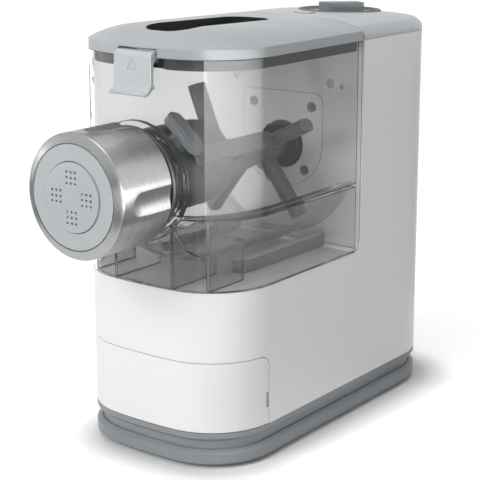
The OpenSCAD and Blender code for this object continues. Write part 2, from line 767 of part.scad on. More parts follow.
module spare_discs() color([0.86, 0.86, 0.84]) at_front() for (i = [0, 1])
  translate([0, 40, tray_z + tray_wall + 0.1 + i * 9.4]) difference() {
    union() {
      cylinder(r = face_r - 0.2, h = 8.8);
      cylinder(r = face_r + 0.9, h = 4);
    }
    translate([0, 0, -1]) cylinder(r = i == 0 ? 3 : 5, h = 12);
    if (i == 1) for (a = [0:60:300]) rotate([0, 0, a]) translate([13, 0, -1]) cylinder(r = 4, h = 12);
    if (i == 0) for (a = [0:45:315]) rotate([0, 0, a]) translate([8, -1, -1]) cube([14, 2, 12]);
  }

// ---------- Mixing chamber ----------

// Profile of the trough, [radius, station] from its front hole to the rear wall, grown by gap
function trough_profile(gap) = concat(
  [[0, -1], [front_hole + gap, -1], [front_hole + gap, 5]],
  [for (a = [10:16:90])
    [front_hole + gap + (trough_r - front_hole) * pow(sin(a), 1.2), 5 + (bowl_y - 5) * (1 - cos(a))]],
  [[trough_r + gap, chamber_end + 1], [0, chamber_end + 1]]);

module mixing_chamber() color([0.75, 0.75, 0.74, 0.35]) difference() {
  union() {
    at_front() {
      // Outer skirt with a lip round its foot
      intersection() {
        difference() {
          block(deck_z + seat_gap, rim_z);
          block(deck_z, rim_z + 1, skirt_t);
        }
        skirt_side();
      }
      // Shelf round the rim of the trough, rear wall and ribs
      intersection() {
        block(deck_z + seat_gap, rim_z, skirt_t / 2);
        skirt_side();
        union() {
          behind(chamber_end - skirt_t, deck_z, rim_z);
          translate([-body_w, 0, shelf_z - trough_t]) cube([2 * body_w, chamber_end, trough_t]);
          for (x = rib_x)
            translate([x - rib_t / 2, 0.5, deck_z]) cube([rib_t, bowl_y - 12, shelf_z - deck_z]);
        }
      }
    }
    // Trough under the shelf
    on_axis() difference() {
      turned_y(trough_profile(trough_t));
      translate([-body_w, -50, -shelf_drop]) cube([2 * body_w, 400, 200]);
      bar_y(200, chamber_end, 200);
      bar_y(200, -10, 0.6);
    }
    // Ring round the front hole
    on_axis() bar_y(front_hole + 6.2, -2.6, 2);
  }
  on_axis() {
    turned_y([[0, -8], [collar_r + 0.3, -8], [collar_r + 0.3, -6.2], [front_hole, -0.4], [0, -0.4]]);
    intersection() {
      turned_y(trough_profile(0));
      bar_y(200, skirt_t + 1.4, chamber_end - skirt_t);
      translate([-body_w, -50, -200]) cube([2 * body_w, 400, 200 - shelf_drop + 5]);
    }
    bar_y(front_hole, -10, 12);
    bar_y(neck_r + 4, chamber_end - 10, chamber_end + 10);
  }
  // Notch under the lid latch
  at_front() translate([-latch_w / 2 - 0.5, -5, rim_z - 2.4]) cube([latch_w + 1, 12, 10]);
}

// Side view of the chamber with its rounded foot corner and rear edge
module skirt_side() let (r = deck_fillet_r + 0.3) plate_x(0, 2 * body_w) {
  translate([-20, deck_z - 5]) square([chamber_end + 20 - r, 400]);
  translate([-20, deck_z + seat_gap + r]) square([chamber_end + 20, 400]);
  translate([chamber_end - r, deck_z + seat_gap + r]) circle(r);
}

module chamber_seal() color([0.15, 0.15, 0.16]) on_axis() turned_y([
  [neck_r + 0.1, chamber_end - 5], [neck_r + 7, chamber_end - 4.2],
  [neck_r + 7, chamber_end - skirt_t - 0.1], [neck_r + 3.9, chamber_end - skirt_t - 0.1],
  [neck_r + 3.9, chamber_end - 0.1], [neck_r + 0.1, chamber_end - 0.1]
]);

// ---------- Extrusion head ----------

module extrusion_tube() color([0.34, 0.36, 0.37]) on_axis() difference() {
  union() {
    // Eccentric barrel with a rounded rear end
    translate([0, 0, tube_lift]) turned_y(concat([[0, 5], [tube_r, 5]],
      [for (a = [0:15:90]) [tube_r / 2 * (1 + cos(a)), tube_len - 20 + 20 * sin(a)]], [[0, tube_len]]));
    bar_y(front_hole - 0.2, -1, 6);
    turned_y([
      [0, -8.4], [collar_r - 1, -8.4], [collar_r, -7.4], [collar_r, -6.4],
      [front_hole - 0.2, -0.8], [0, -0.8]
    ]);
    bar_y(nose_r, disc_seat + 0.2, -8);
    // Bayonet lugs
    for (a = [0:120:240]) rotate([0, a, 0]) intersection() {
      translate([-5, cap_front + 22, 0]) cube([10, 5, collar_r]);
      bar_y(nose_r + 2.4, cap_front, 0);
    }
  }
  bar_y(bore_r, cap_front, tube_len + 5);
}

module tube_key() color([0.42, 0.44, 0.45]) on_axis() rotate([0, -49, 0]) translate([front_hole - 1, 0, 0]) {
  translate([-0.5, key_y, 0]) rotate([0, 90, 0]) linear_extrude(9) rounded(12, 9, 4);
  translate([7.4, key_y, 0]) rotate([0, 90, 0]) linear_extrude(5.2) rounded(32, 11.6, 5.7);
  translate([12.6, key_y, 0]) rotate([0, 90, 0]) linear_extrude(1.2) rounded(29, 9, 4.4);
}

module cap_core() color([0.5, 0.51, 0.52]) on_axis() difference() {
  turned_y([
    [nose_r + 0.25, cap_rear - 1], [cap_r - cap_wall - 0.1, cap_rear - 1],
    [cap_r - cap_wall - 0.1, disc_seat + 0.4], [nose_r + 0.25, disc_seat + 0.4]
  ]);
  // Bayonet channel that the lugs run in
  turned_y([
    [0, cap_front + 21.6], [nose_r + 2.8, cap_front + 21.6],
    [nose_r + 2.8, cap_front + 27.4], [0, cap_front + 27.4]
  ]);
  for (a = [60:120:300]) rotate([0, a, 0]) intersection() {
    translate([-6, cap_front + 22, 0]) cube([12, cap_len, collar_r]);
    bar_y(nose_r + 3, cap_front, 0);
  }
}

module locking_cap() color([0.78, 0.78, 0.77]) on_axis() difference() {
  turned_y([
    [cap_r - cap_wall, cap_rear], [cap_r - 0.7, cap_rear], [cap_r, cap_rear - 0.8], [cap_r, cap_front + 2.9],
    [cap_r - 0.5, cap_front + 2.2], [face_r + 0.4, cap_front], [face_r, cap_front + 0.4],
    [face_r, cap_front + 3.2], [cap_r - cap_wall, cap_front + 3.2]
  ]);
  for (i = [0:scallops - 1]) rotate([0, -scallop_turn - 360 * i / scallops, 0])
    translate([cap_r + scallop_r - scallop_in, 0, 0]) {
      bar_y(scallop_r, cap_front + 20, cap_rear + 5);
      translate([0, cap_front + 20, 0]) sphere(scallop_r);
    }
}

module shaping_disc() color([0.74, 0.77, 0.78]) on_axis() turned_y([
  [insert_r + 0.4, cap_front], [face_r - 0.2, cap_front], [face_r - 0.2, cap_front + 3.4],
  [face_r + 2.1, cap_front + 3.4], [face_r + 2.1, disc_seat], [insert_r - 2, disc_seat],
  [insert_r - 2, cap_front + 5.8], [insert_r + 0.4, cap_front + 5.8]
]);

module disc_insert() color([0.68, 0.7, 0.71]) on_axis() difference() {
  turned_y([
    [0, cap_front - insert_proud], [insert_r - 0.6, cap_front - insert_proud],
    [insert_r, cap_front - insert_proud + 0.6], [insert_r, cap_front + 5.7], [0, cap_front + 5.7]
  ]);
  for (a = [0:90:270], i = [-1:1], j = [-1:1]) rotate([0, a, 0])
    translate([group_r + i * hole_pitch, 0, j * hole_pitch]) rotate([90, 0, 0])
      cylinder(d = hole_d, h = 3 * cap_reach, center = true, $fn = 16);
}

// ---------- Extruder screw and kneading paddle ----------

module extruder_screw() color([0.8, 0.81, 0.82]) on_axis() {
  flight = tube_len - 4 - screw_y0;
  bar_y(core_r, screw_y0, paddle_y - 0.2);
  translate([0, screw_y0, 0]) rotate([-90, 0, 0])
    linear_extrude(flight, twist = -360 * flight / screw_pitch, slices = 72, segments = 6)
      polygon([[core_r - 1.5, -1.7], [bore_r - run_gap, -1.1], [bore_r - run_gap, 1.1], [core_r - 1.5, 1.7]]);
}

// Section of a blade, [station, tangent], with its broad bevelled working face
function blade_section(d, t) = [
  [-d / 2, -t * 0.2], [-d / 2 + 2.5, -t / 2], [d / 2 - 2, -t / 2], [d / 2, -t * 0.25],
  [d / 2, t * 0.2], [d / 2 - 4, t / 2], [-d / 2 + 3, t / 2], [-d / 2, t * 0.25]
];

module kneading_paddle() color([0.4, 0.42, 0.43]) on_axis() {
  hub_end = chamber_end - 12;
  turned_y([
    [0, paddle_y], [13.5, paddle_y], [13.5, paddle_y + 8], [10, paddle_y + 44], [10, hub_end - 2],
    [8.8, hub_end], [neck_r, hub_end], [neck_r, chamber_end + 0.8], [0, chamber_end + 0.8]
  ]);
  translate([0, (chamber_end + column_y + 4) / 2, 0])
    cube([drive_af, column_y + 4 - chamber_end, drive_af], center = true);
  for (b = blade_set) rotate([0, -b[0], 0]) translate([5, b[1], 0]) rotate([90, 0, 90])
    linear_extrude(blade_r - 5) polygon(blade_section(blade_depth, blade_t));
  // Scraper arm that runs forward beside the tube
  arm_in = tube_r + tube_lift + run_gap;
  rotate([0, -arm_angle, 0]) linear_extrude(11, center = true) polygon([
    [arm_in, 22], [arm_in + 1.5, 19], [arm_r - 1, 21], [arm_r, 24], [arm_r, paddle_y + 12],
    [30, paddle_y + 30], [8, paddle_y + 30], [8, paddle_y], [arm_in, paddle_y]
  ]);
}

// ---------- Lid ----------

module slot_plan(gap = 0) translate([0, slot_y + slot_len / 2])
  rounded(slot_w + 2 * gap, slot_len + 2 * gap, slot_r + gap);

module lid_shell() color([0.7, 0.72, 0.73]) at_front() difference() {
  intersection() {
    crown();
    ahead(chamber_end, rim_z - 1, edge_z + 30);
    union() {
      difference() {
        block(rim_z, edge_z + 30);
        intersection() {
          crown_hollow();
          ahead(chamber_end - skin, rim_z - 12, edge_z + 20);
        }
      }
      translate([0, 0, rim_z + 2]) linear_extrude(30) slot_plan(1.8);
      // Ears for the latch pin
      for (s = [-1, 1]) translate([s * (latch_w / 2 + 2.3) - 1.7, 0.4, rim_z]) cube([3.4, 7, 5]);
    }
  }
  translate([0, 0, rim_z - 2]) linear_extrude(40) slot_plan();
  // Pocket in which the latch turns
  translate([-latch_w / 2 - 0.5, -1, rim_z - 2]) cube([latch_w + 1, 7.2, pivot_z - rim_z + 2]);
  latch_axis(4.2, latch_w + 1);
  latch_axis(pin_r, latch_w + 8);
}

module latch_axis(r, l) translate([-l / 2, pivot_y, pivot_z]) rotate([0, 90, 0]) cylinder(r = r, h = l);

module latch_pin() color([0.75, 0.76, 0.78]) at_front() latch_axis(pin_r - running, latch_w + 6);

module lid_collar() color([0.3, 0.31, 0.33]) at_front() difference() {
  union() {
    intersection() {
      block(rim_z - collar_h, rim_z + 1.8, skirt_t + 0.8);
      ahead(chamber_end - skirt_t - 0.8, 0, 400);
    }
    intersection() {
      block(rim_z + 0.3, rim_z + 1.8, skin + 0.1);
      ahead(chamber_end - skin - 0.1, 0, 400);
    }
  }
  intersection() {
    block(0, 400, skirt_t + 3);
    ahead(chamber_end - skirt_t - 3, 0, 400);
  }
  translate([-latch_w / 2 - 4.4, -5, rim_z - 20]) cube([latch_w + 8.8, 16, 40]);
}

module pour_grille() color([0.2, 0.21, 0.22]) at_front() {
  difference() {
    translate([0, 0, grille_z]) linear_extrude(grille_h) slot_plan(-0.15);
    translate([0, 0, grille_z + 1.6]) linear_extrude(10) slot_plan(-1.5);
    for (i = [-6:6]) translate([0, slot_y + slot_len / 2 + i * 6.6, grille_z - 1])
      linear_extrude(4) rounded(slot_w - 12, 3.4, 1.6);
  }
  for (y = [0.27, 0.5, 0.73])
    translate([1.4 - slot_w / 2, slot_y + slot_len * y - 0.8, grille_z + 1]) cube([slot_w - 2.8, 1.6, 4]);
}

module lid_latch() color([0.78, 0.8, 0.8]) at_front() difference() {
  union() {
    plate_x(0, latch_w) polygon([
      [-4.7, rim_z - 16], [-4.7, edge_z - 6.2], [-4.1, edge_z - 4.2], [-2.6, edge_z - 2.9],
      [-0.6, edge_z - 2.5], [1.6, edge_z - 2.6], [1.6, pivot_z - 1.4], [-1.9, rim_z - 4],
      [-1.9, rim_z - 17], [-0.7, rim_z - 17.4],
      [-0.7, rim_z - 18.6], [-3, rim_z - 19.6], [-5.4, rim_z - 21.6], [-9, rim_z - latch_drop],
      [-10.2, rim_z - latch_drop + 0.4], [-10.4, rim_z - latch_drop + 1.6], [-7.6, rim_z - 20.4],
      [-5.8, rim_z - 18.4]
    ]);
    latch_axis(2.7, latch_w);
  }
  latch_axis(pin_r + running, latch_w + 2);
  // Sunken triangle that marks the latch
  translate([0, -4.2, rim_z - 5]) rotate([90, 0, 0]) linear_extrude(1) rotate(90) difference() {
    circle(5, $fn = 3);
    circle(3.4, $fn = 3);
  }
}

base_tray();
rubber_feet();
tray_screws();
main_housing();
deck_plate();
column_shell();
rear_panel();
column_cover();
dial_ring();
control_knob();
start_button();
control_board();
selector_switch();
start_switch();
shield_plate();
plate_screws();
shaft_seal();
drive_coupling();
output_shaft();
output_gear();
output_bearing();
intermediate_shaft();
intermediate_gear();
motor_pinion();
motor_shaft();
motor_can();
cooling_fan();
gear_frame();
cord_gland();
drawer_front();
storage_tray();
spare_discs();
mixing_chamber();
chamber_seal();
extrusion_tube();
tube_key();
cap_core();
locking_cap();
shaping_disc();
disc_insert();
extruder_screw();
kneading_paddle();
lid_shell();
lid_collar();
pour_grille();
lid_latch();
latch_pin();
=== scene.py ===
"""Electric pasta maker: materials, finished surfaces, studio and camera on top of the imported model."""
import json
import math

import bmesh
import bpy
from mathutils import Matrix, Vector

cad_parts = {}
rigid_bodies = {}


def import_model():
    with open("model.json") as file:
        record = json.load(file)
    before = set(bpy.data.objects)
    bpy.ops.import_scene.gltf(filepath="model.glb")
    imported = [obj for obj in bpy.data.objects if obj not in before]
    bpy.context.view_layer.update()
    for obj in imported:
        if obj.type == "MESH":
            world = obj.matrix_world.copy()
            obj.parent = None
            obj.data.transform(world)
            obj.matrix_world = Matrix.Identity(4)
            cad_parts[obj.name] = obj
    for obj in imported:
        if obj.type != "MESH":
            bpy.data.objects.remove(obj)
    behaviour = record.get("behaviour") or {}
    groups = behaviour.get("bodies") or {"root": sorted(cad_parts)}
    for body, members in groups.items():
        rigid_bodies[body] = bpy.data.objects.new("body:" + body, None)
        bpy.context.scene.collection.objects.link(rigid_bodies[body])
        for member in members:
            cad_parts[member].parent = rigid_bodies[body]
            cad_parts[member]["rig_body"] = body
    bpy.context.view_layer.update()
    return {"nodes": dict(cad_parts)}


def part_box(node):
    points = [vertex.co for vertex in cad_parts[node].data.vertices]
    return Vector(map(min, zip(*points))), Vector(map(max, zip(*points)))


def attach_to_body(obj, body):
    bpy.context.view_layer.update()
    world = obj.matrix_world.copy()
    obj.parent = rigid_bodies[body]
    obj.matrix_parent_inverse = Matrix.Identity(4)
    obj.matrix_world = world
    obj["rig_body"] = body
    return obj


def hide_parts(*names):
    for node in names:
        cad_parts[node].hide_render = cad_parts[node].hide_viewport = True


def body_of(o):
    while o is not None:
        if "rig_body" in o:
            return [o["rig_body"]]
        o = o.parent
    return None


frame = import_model()
scene = bpy.context.scene
nodes = frame["nodes"]
MM = 0.001

# Places shared with the solids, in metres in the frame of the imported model
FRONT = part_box("main_housing")[0].y
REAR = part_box("column_shell")[1].y
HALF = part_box("main_housing")[1].x
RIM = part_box("lid_shell")[0].z
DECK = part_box("deck_plate")[1].z
AXIS = 184.8 * MM  # height of the axis of the paddle and the extrusion head

GRAIN_DEPTH = 0.02 * MM  # depth of the fine grain of a surface


# ---------- Node helpers ----------

class Graph:
    """One material's node tree with its shader, its output and the object's coordinates."""

    def __init__(self, name):
        self.mat = bpy.data.materials.new(name)
        self.mat.use_nodes = True
        self.tree = self.mat.node_tree
        self.shader = self.tree.nodes["Principled BSDF"]
        self.out = self.tree.nodes["Material Output"]
        self.coord = self.add("ShaderNodeTexCoord").outputs["Object"]

    def add(self, kind, **values):
        n = self.tree.nodes.new(kind)
        for k, v in values.items():
            setattr(n, k, v)
        return n

    def link(self, a, b):
        self.tree.links.new(a, b)

    def stretched(self, scale):
        """The object's coordinates with a scale for each axis."""
        m = self.add("ShaderNodeMapping")
        m.inputs["Scale"].default_value = scale
        self.link(self.coord, m.inputs["Vector"])
        return m.outputs["Vector"]

    def noise(self, scale, detail=3, rough=0.5, vector=None):
        n = self.add("ShaderNodeTexNoise")
        n.inputs["Scale"].default_value = scale
        n.inputs["Detail"].default_value = detail
        n.inputs["Roughness"].default_value = rough
        self.link(vector or self.coord, n.inputs["Vector"])
        return n.outputs["Fac"]

    def ranged(self, value, low, high, start=0.3, end=0.7):
        """Low at the start of a range of values, high at its end."""
        n = self.add("ShaderNodeMapRange")
        n.inputs["From Min"].default_value = start
        n.inputs["From Max"].default_value = end
        n.inputs["To Min"].default_value = low
        n.inputs["To Max"].default_value = high
        self.link(value, n.inputs["Value"])
        return n.outputs["Result"]

    def mix(self, fac, a, b):
        """Mixes two colours, each a constant or an output."""
        n = self.add("ShaderNodeMix", data_type="RGBA")
        self.link(fac, n.inputs["Factor"])
        for value, socket in ((a, n.inputs["A"]), (b, n.inputs["B"])):
            if hasattr(value, "is_output"):
                self.link(value, socket)
            else:
                socket.default_value = (*value, 1)
        return n.outputs["Result"]

    def bump(self, height, strength, depth=GRAIN_DEPTH):
        n = self.add("ShaderNodeBump")
        n.inputs["Strength"].default_value = strength
        n.inputs["Distance"].default_value = depth
        self.link(height, n.inputs["Height"])
        return n.outputs["Normal"]

    def maths(self, operation, a, b):
        """One step of arithmetic on an output and a constant or a second output."""
        n = self.add("ShaderNodeMath", operation=operation)
        self.link(a, n.inputs[0])
        if hasattr(b, "is_output"):
            self.link(b, n.inputs[1])
        else:
            n.inputs[1].default_value = b
        return n.outputs[0]

    def vector(self, operation, a, b=None, c=None):
        """One step of vector arithmetic on an output, a constant and a second output."""
        n = self.add("ShaderNodeVectorMath", operation=operation)
        self.link(a, n.inputs[0])
        if b is not None:
            n.inputs[1].default_value = b
        if c is not None:
            self.link(c, n.inputs[2])
        return n.outputs["Value" if operation == "LENGTH" else "Vector"]

    def feed(self, **outputs):
        """Links outputs to the shader's sockets of those names."""
        for k, v in outputs.items():
            self.link(v, self.shader.inputs[k.replace("_", " ")])

    def set(self, **values):
        """Sets the shader's sockets of those names."""
        for k, v in values.items():
            self.shader.inputs[k.replace("_", " ")].default_value = v


def shade(color, k):
    return tuple(min(1, c * k) for c in color)


def moulded(name, color, rough, vary=0.03, strength=0.07, gleam=0.5):
    """Moulded plastic: faint flow marks in the colour, uneven gloss and a fine spark-eroded grain."""
    g = Graph(name)
    dark, light = shade(color, 1 - vary), shade(color, 1 + vary)
    flow = g.ranged(g.noise(9, 4, 0.6, g.stretched((1, 1, 2.4))), 0, 1, 0.2, 0.8)
    dust = g.ranged(g.noise(160, 2), 0, 0.4, 0.5, 0.9)
    g.feed(Base_Color=g.mix(dust, g.mix(flow, dark, light), dark),
           Roughness=g.ranged(g.noise(45, 2), rough - 0.06, rough + 0.06, 0.2, 0.8),
           Normal=g.bump(g.noise(850, 2), strength))
    g.set(IOR=1.5, Specular_IOR_Level=gleam)
    return g.mat


def metal(name, color, rough, brushed=None, vary=0.05, strength=0.1):
    """Bare metal, brushed by a stretched grain or with a fine tumbled one."""
    g = Graph(name)
    grain = g.noise(900, 4, 0.7, g.stretched(brushed)) if brushed else g.noise(700, 4, 0.7)
    g.feed(Base_Color=g.mix(g.ranged(grain, 0, 1), shade(color, 1 - vary), shade(color, 1 + vary)),
           Roughness=g.ranged(g.noise(60, 3, 0.6), rough - 0.08, rough + 0.08),
           Normal=g.bump(grain, strength))
    g.set(Metallic=1.0)
    return g.mat


def clear(name, color, edge, rough, haze):
    """Clear moulded plastic: light passes almost straight, its edges look dark, a coat carries the gloss."""
    g = Graph(name)
    flow = g.noise(14, 3, 0.6, g.stretched((1, 1, 3)))
    body = g.mix(g.ranged(flow, 0, 1), shade(color, 1 - haze), color)
    facing = g.add("ShaderNodeLayerWeight").outputs["Facing"]
    g.feed(Base_Color=g.mix(g.ranged(facing, 0, 1, 0.8, 1.0), body, edge),
           Roughness=g.ranged(g.noise(90), 0, rough))
    g.set(IOR=1.1, Transmission_Weight=1.0, Coat_Weight=0.55, Coat_Roughness=0.02, Coat_IOR=1.5)
    # Shadow rays go straight through, so that the lamps light what is inside
    through = g.add("ShaderNodeBsdfTransparent")
    through.inputs["Color"].default_value = (*shade(color, 1.22), 1)
    both = g.add("ShaderNodeMixShader")
    g.link(g.add("ShaderNodeLightPath").outputs["Is Shadow Ray"], both.inputs[0])
    g.link(g.shader.outputs[0], both.inputs[1])
    g.link(through.outputs[0], both.inputs[2])
    g.link(both.outputs[0], g.out.inputs["Surface"])
    return g.mat


def gloss(name, color, rough, peel):
    """Glossy painted plastic: an even colour with a faint orange peel that only the reflections show."""
    g = Graph(name)
    flow = g.ranged(g.noise(7, 3, 0.6, g.stretched((1, 1, 2.2))), 0, 1, 0.2, 0.8)
    g.feed(Base_Color=g.mix(flow, shade(color, 0.988), color),
           Roughness=g.ranged(g.noise(26, 2), rough - 0.03, rough + 0.04, 0.2, 0.8),
           Normal=g.bump(g.noise(260, 1), peel))
    g.set(IOR=1.5, Coat_Weight=0.1, Coat_Roughness=0.2, Specular_IOR_Level=0.4)
    return g.mat


def turned_steel(name, color, rough):
    """Stainless steel brushed round the axis of the head: hairlines round it, drawn out by anisotropy."""
    g = Graph(name)
    here = g.add("ShaderNodeSeparateXYZ")
    g.link(g.coord, here.inputs[0])
    off = g.add("ShaderNodeCombineXYZ")
    g.link(here.outputs["X"], off.inputs["X"])
    g.link(g.maths("SUBTRACT", here.outputs["Z"], AXIS), off.inputs["Y"])
    # Radius and distance along the axis, so that face rings and side hairlines both run round it
    rings = g.add("ShaderNodeCombineXYZ")
    g.link(g.vector("LENGTH", off.outputs[0]), rings.inputs["X"])
    g.link(here.outputs["Y"], rings.inputs["Y"])
    hair = g.noise(1500, 3, 0.7, rings.outputs[0])
    band = g.noise(300, 2, 0.6, rings.outputs[0])
    # The scratches also change slowly on their way round
    turn, drift = g.vector("NORMALIZE", off.outputs[0]), (1.6 * MM, 1.6 * MM, 0)
    scratch = g.noise(1900, 2, 0.7, g.vector("MULTIPLY_ADD", turn, drift, rings.outputs[0]))
    tone = g.mix(g.ranged(hair, 0, 1), shade(color, 0.93), shade(color, 1.06))
    g.feed(Base_Color=g.mix(g.ranged(band, 0, 0.5), tone, shade(color, 0.9)),
           Roughness=g.ranged(scratch, rough - 0.05, rough + 0.06),
           Normal=g.bump(hair, 0.05, GRAIN_DEPTH / 2),
           Tangent=g.add("ShaderNodeTangent", direction_type="RADIAL", axis="Y").outputs[0])
    g.set(Metallic=1.0, Anisotropic=0.75, Anisotropic_Rotation=0.25)
    return g.mat


# ---------- Materials ----------

white = gloss("gloss_white", (0.80, 0.80, 0.785), 0.38, 0.05)
# Painted shade for the inside of the moulded pits in the white column
pit_painted_shade = moulded("pit_painted_shade", (0.52, 0.52, 0.51), 0.45)
# Painted shade for the white deck under the clear chamber, also used on the tops of the ridges
deck_painted_shade = moulded("deck_painted_shade", (0.43, 0.425, 0.415), 0.4)
base_gray = moulded("base_gray", (0.225, 0.244, 0.256), 0.42)
lid_gray = moulded("lid_gray", (0.345, 0.369, 0.383), 0.34)
cover_gray = moulded("cover_gray", (0.40, 0.423, 0.437), 0.36)
latch_gray = moulded("latch_gray", (0.45, 0.48, 0.495), 0.3)
ring_gray = moulded("ring_gray", (0.1, 0.107, 0.112), 0.5, gleam=0.25)
knob_gray = moulded("knob_gray", (0.19, 0.202, 0.21), 0.36)
collar_dark = moulded("collar_dark", (0.014, 0.015, 0.016), 0.42, gleam=0.25)
grille_dark = moulded("grille_dark", (0.075, 0.08, 0.085), 0.45)
# Painted shade for the walls of the pouring slot in the grey lid
slot_painted_shade = moulded("slot_painted_shade", (0.02, 0.021, 0.023), 0.5, gleam=0.2)
tube_gray = moulded("tube_gray", (0.062, 0.066, 0.07), 0.42, vary=0.05)
paddle_gray = moulded("paddle_gray", (0.072, 0.079, 0.084), 0.4, vary=0.05)
key_gray = moulded("key_gray", (0.13, 0.14, 0.148), 0.4, vary=0.05)
coupling_dark = moulded("coupling_dark", (0.13, 0.138, 0.143), 0.4)
rubber = moulded("rubber_black", (0.02, 0.02, 0.021), 0.7, vary=0.12, strength=0.2)
seal = moulded("seal_black", (0.008, 0.008, 0.009), 0.6, vary=0.12, gleam=0.15)
switch_black = moulded("switch_black", (0.03, 0.03, 0.033), 0.5, vary=0.1)
tray_gray = moulded("tray_gray", (0.44, 0.46, 0.47), 0.45)
disc_white = moulded("disc_white", (0.70, 0.70, 0.68), 0.45)
disc_gray = moulded("disc_gray", (0.40, 0.43, 0.437), 0.4, vary=0.04)
insert_gray = moulded("insert_gray", (0.40, 0.43, 0.437), 0.38, vary=0.04)
gear_plastic = moulded("gear_plastic", (0.68, 0.64, 0.54), 0.45, vary=0.05)
fan_plastic = moulded("fan_plastic", (0.60, 0.60, 0.57), 0.5)
board = moulded("board_green", (0.025, 0.12, 0.05), 0.45, vary=0.15, strength=0.2)
cap_core_gray = moulded("cap_core_gray", (0.2, 0.21, 0.22), 0.45)
steel = metal("ground_steel", (0.58, 0.58, 0.585), 0.28, brushed=(1, 14, 1))
bright_screw = metal("zinc_screw", (0.55, 0.55, 0.56), 0.35)
dark_screw = metal("dark_screw", (0.13, 0.13, 0.135), 0.42)
# Painted shade for thin rods in the gap round the shield plate
groove = moulded("groove_shade", (0.16, 0.16, 0.155), 0.6, gleam=0.1)
brass = metal("brass", (0.72, 0.55, 0.27), 0.3, brushed=(1, 10, 1))
alloy = metal("cast_alloy", (0.5, 0.51, 0.52), 0.5, vary=0.1, strength=0.35)
can = metal("plated_can", (0.42, 0.43, 0.45), 0.38, brushed=(9, 1, 9))
screw_steel = metal("screw_steel", (0.6, 0.605, 0.61), 0.26, brushed=(1, 12, 1))
cap_steel = turned_steel("turned_steel", (0.39, 0.39, 0.386), 0.3)
clear_smoke = clear("clear_smoke", (0.775, 0.775, 0.773), (0.42, 0.42, 0.42), 0.012, 0.02)
# Painted shade for thin rods along the edges of the clear chamber
clear_edge_painted_shade = moulded("clear_edge_painted_shade", (0.045, 0.045, 0.047), 0.2, vary=0.2)
# Painted shade for the sides of the low ridges under the trough
ridge_painted_shade = moulded("ridge_painted_shade", (0.15, 0.148, 0.143), 0.45, gleam=0.3)

FINISH = {
    "base_tray": base_gray, "rubber_feet": rubber, "tray_screws": bright_screw, "plate_screws": dark_screw,
    "main_housing": white, "deck_plate": white, "column_shell": white, "rear_panel": white,
    "shield_plate": white, "drawer_front": white, "column_cover": cover_gray, "dial_ring": ring_gray,
    "control_knob": knob_gray, "start_button": cover_gray, "control_board": board,
    "selector_switch": switch_black, "start_switch": switch_black, "cord_gland": rubber,
    "shaft_seal": seal, "chamber_seal": seal, "drive_coupling": coupling_dark, "output_shaft": steel,
    "intermediate_shaft": steel, "motor_shaft": steel, "output_bearing": steel, "latch_pin": steel,
    "motor_can": can, "output_gear": gear_plastic, "intermediate_gear": gear_plastic,
    "cooling_fan": fan_plastic, "motor_pinion": brass, "gear_frame": alloy, "storage_tray": tray_gray,
    "spare_discs": disc_white, "mixing_chamber": clear_smoke, "extrusion_tube": tube_gray,
    "tube_key": key_gray, "cap_core": cap_core_gray, "locking_cap": cap_steel, "shaping_disc": disc_gray,
    "disc_insert": insert_gray, "extruder_screw": screw_steel, "kneading_paddle": paddle_gray,
    "lid_shell": lid_gray, "lid_collar": collar_dark, "pour_grille": grille_dark, "lid_latch": latch_gray,
}
for name, node in nodes.items():
    node.data.materials.clear()
    node.data.materials.append(FINISH[name])


# ---------- Finished surfaces over the solids ----------

WELD = 2e-6  # distance over which the corners of a CAD mesh are one, in metres
SHARP, FINE_SHARP = 38, 30  # angles from which an edge is sharp in degrees, fine for chamber and shield plate
# The finely cut outlines of these two would hold the width of the rounding back to almost nothing
FREE_WIDTH = "lid_shell_skin", "column_cover_skin"


def attach(name, data, mat, node, *stands_for):
    """Links a mesh or curve as a piece that rides with a CAD node and replaces those it stands for."""
    piece = bpy.data.objects.new(name, data)
    scene.collection.objects.link(piece)
    data.materials.clear()
    data.materials.append(mat)
    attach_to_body(piece, body_of(nodes[node])[0])
    if stands_for:
        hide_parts(*stands_for)
    return piece


def skin(name, mesh, *stands_for):
    """Links a mesh as the visible surface of CAD nodes, with the finish of the first."""
    return attach(name, mesh, FINISH[stands_for[0]], stands_for[0], *stands_for)


def weld(mesh, angle):
    """Joins the corners of a CAD mesh and smooths it up to an angle."""
    bm = bmesh.new()
    bm.from_mesh(mesh)
    bmesh.ops.remove_doubles(bm, verts=bm.verts, dist=WELD)
    bm.to_mesh(mesh)
    bm.free()
    mesh.shade_smooth()
    mesh.set_sharp_from_angle(angle=math.radians(angle))


def soften(piece, width):
    """Rounds the edges where a width in millimetres is given, and lets the large faces rule the normals."""
    if width:
        m = piece.modifiers.new("edge", "BEVEL")
        m.use_clamp_overlap = piece.name not in FREE_WIDTH
        m.width = width * MM
        m.segments = 2
        m.limit_method = "ANGLE"
        m.angle_limit = math.radians(SHARP)
        m.miter_outer = "MITER_ARC"
        m.face_strength_mode = "FSTR_ALL"
    even = piece.modifiers.new("even", "WEIGHTED_NORMAL")
    even.keep_sharp = True
    even.weight = 100
    even.use_face_influence = bool(width)


def dressed(node, width):
    """A copy of a CAD node's shape with its edges rounded."""
    mesh = nodes[node].data.copy()
    mesh.name = node + "_skin"
    weld(mesh, SHARP)
    piece = skin(node + "_skin", mesh, node)
    soften(piece, width)
    return piece


def repaint(mesh, mat, chosen):
    """Gives the faces that a test on centre and normal picks another material."""
    mesh.materials.append(mat)
    for poly in mesh.polygons:
        if chosen(poly.center, poly.normal):
            poly.material_index = len(mesh.materials) - 1


